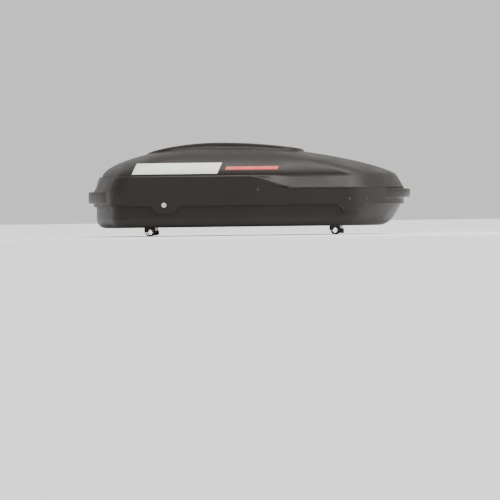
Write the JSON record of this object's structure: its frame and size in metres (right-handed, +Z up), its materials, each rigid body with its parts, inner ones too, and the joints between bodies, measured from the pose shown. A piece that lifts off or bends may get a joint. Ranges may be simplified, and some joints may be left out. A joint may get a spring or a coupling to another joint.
{
  "type": "roof cargo box",
  "caption": "Side-opening domed roof cargo box with a hinged lid, key-locked sliding latch bar, lid struts and hand-tightened crossbar clamps.",
  "frame": {"origin": "middle of the box in plan, level with the bottom of the clamp jaws", "axes": "+X towards the nose (forward on the car), +Y towards the hinge side (left of the car), +Z up"},
  "size_m": [1.5996, 0.965, 0.4614],
  "materials": {
    "shell": "grained semi-matte moulded ABS",
    "hardware_plastic": "satin glass-filled nylon",
    "rubber": "matte",
    "zinc": "zinc plated",
    "black_metal": "black coated, semi-gloss",
    "bright_metal": "bright plated",
    "white_print": "satin printed film",
    "red_print": "satin printed film"
  },
  "bodies": {
    "tray": {"clamp_pads": "rubber", "clamp_plates": "zinc", "clamp_saddles": "hardware_plastic", "floor_rail_left": "zinc", "floor_rail_right": "zinc", "front_striker": "zinc", "front_strut_foot": "zinc", "hinge_pins": "zinc", "hinge_tray_leaves": "black_metal", "hinge_tray_rivets": "black_metal", "rear_striker": "zinc", "rear_strut_foot": "zinc", "rim_seal": "rubber", "striker_rivets": "black_metal", "tray": "shell"},
    "lid": {"lid": "shell", "rear_latch_bracket": "zinc", "front_latch_bracket": "zinc", "middle_guide": "zinc", "latch_rivets": "black_metal", "hinge_lid_leaves": "black_metal", "hinge_lid_rivets": "black_metal", "lock_bezel": "hardware_plastic", "lock_nut": "zinc", "rear_hoop": "zinc", "front_hoop": "zinc", "rear_strut_hanger": "zinc", "front_strut_hanger": "zinc", "stripe_right": "white_print", "stripe_left": "white_print", "pinstripe_right": "red_print", "pinstripe_left": "red_print"},
    "lock_barrel": {"lock_cylinder": "bright_metal", "lock_cam": "zinc", "cam_screw": "zinc"},
    "latch_bar": {"latch_bar": "zinc"},
    "rear_strut_tube": {"rear_strut_tube": "black_metal"},
    "rear_strut_rod": {"rear_strut_rod": "bright_metal"},
    "front_strut_tube": {"front_strut_tube": "black_metal"},
    "front_strut_rod": {"front_strut_rod": "bright_metal"},
    "knob_rear_right": {"clamp_knob_rear_right": "hardware_plastic"},
    "jaw_rear_right": {"clamp_jaw_rear_right": "hardware_plastic", "clamp_stud_rear_right": "zinc"},
    "knob_rear_left": {"clamp_knob_rear_left": "hardware_plastic"},
    "jaw_rear_left": {"clamp_jaw_rear_left": "hardware_plastic", "clamp_stud_rear_left": "zinc"},
    "knob_front_right": {"clamp_knob_front_right": "hardware_plastic"},
    "jaw_front_right": {"clamp_jaw_front_right": "hardware_plastic", "clamp_stud_front_right": "zinc"},
    "knob_front_left": {"clamp_knob_front_left": "hardware_plastic"},
    "jaw_front_left": {"clamp_jaw_front_left": "hardware_plastic", "clamp_stud_front_left": "zinc"}
  },
  "joints": [
    {"name": "lid_hinge", "type": "hinge", "parent": "tray", "child": "lid", "pos_m": [0, 0.471, 0.1474], "axis": [-1, 0, 0], "range_deg": [0, 50]},
    {"name": "lock_turn", "type": "hinge", "parent": "lid", "child": "lock_barrel", "pos_m": [-0.419, -0.48, 0.1534], "axis": [0, 1, 0], "range_deg": [0, 90]},
    {"name": "latch_slide", "type": "slide", "parent": "lid", "child": "latch_bar", "axis": [1, 0, 0], "range_m": [0, 0.024]},
    {"name": "rear_strut_swing", "type": "hinge", "parent": "tray", "child": "rear_strut_tube", "pos_m": [-0.351, 0.25, 0.0884], "axis": [-1, 0, 0], "range_deg": [0, 27.73]},
    {"name": "rear_strut_extend", "type": "slide", "parent": "rear_strut_tube", "child": "rear_strut_rod", "axis": [0, 0.2812, 0.9596], "range_m": [0, 0.13955]},
    {"name": "front_strut_swing", "type": "hinge", "parent": "tray", "child": "front_strut_tube", "pos_m": [0.229, 0.25, 0.0884], "axis": [-1, 0, 0], "range_deg": [0, 27.73]},
    {"name": "front_strut_extend", "type": "slide", "parent": "front_strut_tube", "child": "front_strut_rod", "axis": [0, 0.2812, 0.9596], "range_m": [0, 0.13955]},
    {"name": "knob_turn_rear_right", "type": "hinge", "parent": "tray", "child": "knob_rear_right", "pos_m": [-0.465, -0.3, 0.0634], "axis": [0, 0, 1], "range_deg": [0, 2882]},
    {"name": "jaw_drop_rear_right", "type": "slide", "parent": "tray", "child": "jaw_rear_right", "axis": [0, 0, -1], "range_m": [0, 0.01]},
    {"name": "knob_turn_rear_left", "type": "hinge", "parent": "tray", "child": "knob_rear_left", "pos_m": [-0.465, 0.3, 0.0634], "axis": [0, 0, 1], "range_deg": [0, 2882]},
    {"name": "jaw_drop_rear_left", "type": "slide", "parent": "tray", "child": "jaw_rear_left", "axis": [0, 0, -1], "range_m": [0, 0.01]},
    {"name": "knob_turn_front_right", "type": "hinge", "parent": "tray", "child": "knob_front_right", "pos_m": [0.455, -0.3, 0.0634], "axis": [0, 0, 1], "range_deg": [0, 2882]},
    {"name": "jaw_drop_front_right", "type": "slide", "parent": "tray", "child": "jaw_front_right", "axis": [0, 0, -1], "range_m": [0, 0.01]},
    {"name": "knob_turn_front_left", "type": "hinge", "parent": "tray", "child": "knob_front_left", "pos_m": [0.455, 0.3, 0.0634], "axis": [0, 0, 1], "range_deg": [0, 2882]},
    {"name": "jaw_drop_front_left", "type": "slide", "parent": "tray", "child": "jaw_front_left", "axis": [0, 0, -1], "range_m": [0, 0.01]}
  ],
  "couplings": [
    {"joint": "lock_turn", "follows": "latch_slide", "rad_per_m": 65.443},
    {"joint": "rear_strut_swing", "follows": "lid_hinge", "ratio": 0.5537},
    {"joint": "rear_strut_extend", "follows": "lid_hinge", "m_per_rad": 0.15934},
    {"joint": "front_strut_swing", "follows": "lid_hinge", "ratio": 0.5537},
    {"joint": "front_strut_extend", "follows": "lid_hinge", "m_per_rad": 0.15934},
    {"joint": "knob_turn_rear_right", "follows": "jaw_drop_rear_right", "rad_per_m": 5026.5},
    {"joint": "knob_turn_rear_left", "follows": "jaw_drop_rear_left", "rad_per_m": 5026.5},
    {"joint": "knob_turn_front_right", "follows": "jaw_drop_front_right", "rad_per_m": 5026.5},
    {"joint": "knob_turn_front_left", "follows": "jaw_drop_front_left", "rad_per_m": 5026.5}
  ]
}
